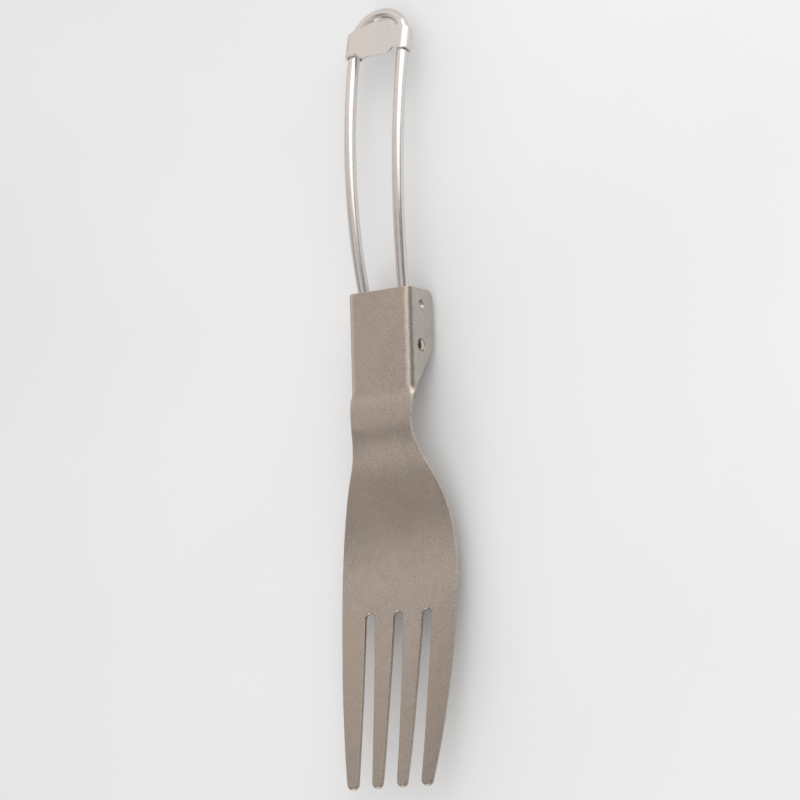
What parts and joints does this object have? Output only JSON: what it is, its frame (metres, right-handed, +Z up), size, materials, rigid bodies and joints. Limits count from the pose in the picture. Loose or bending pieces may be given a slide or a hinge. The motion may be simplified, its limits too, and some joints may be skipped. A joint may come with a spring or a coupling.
{
  "type": "folding camping fork",
  "caption": "Folding picnic fork: pressed sheet head with channel neck and tines, bent wire loop handle hinged in its flanges, and a sheet lock sliding along the wire.",
  "frame": {"origin": "on the flat top of the channel at the back of the fork head, on the centreline, straight above the hinge axis", "axes": "+X along the fork from the handle towards the tine tips, +Y across the fork, +Z up out of the food side"},
  "size_m": [0.1652, 0.0286, 0.0102],
  "materials": {
    "blasted_titanium_sheet": "fine bead-blasted titanium, satin, slightly warm grey",
    "polished_titanium_wire": "smooth drawn and lightly polished titanium wire",
    "satin_titanium_strip": "satin titanium strip, rolled edges"
  },
  "bodies": {
    "head": {"fork_head": "blasted_titanium_sheet"},
    "handle": {"wire_handle": "polished_titanium_wire"},
    "lock": {"slide_lock": "satin_titanium_strip"}
  },
  "joints": [
    {"name": "handle_fold", "type": "hinge", "parent": "head", "child": "handle", "pos_m": [0, 0, -0.0042], "axis": [0, -1, 0], "range_deg": [0, 179.2]},
    {"name": "lock_slide", "type": "hinge", "parent": "handle", "child": "lock", "pos_m": [-0.03628, 0, -0.12991], "axis": [0, 1, 0], "range_deg": [0, 21.85]}
  ]
}
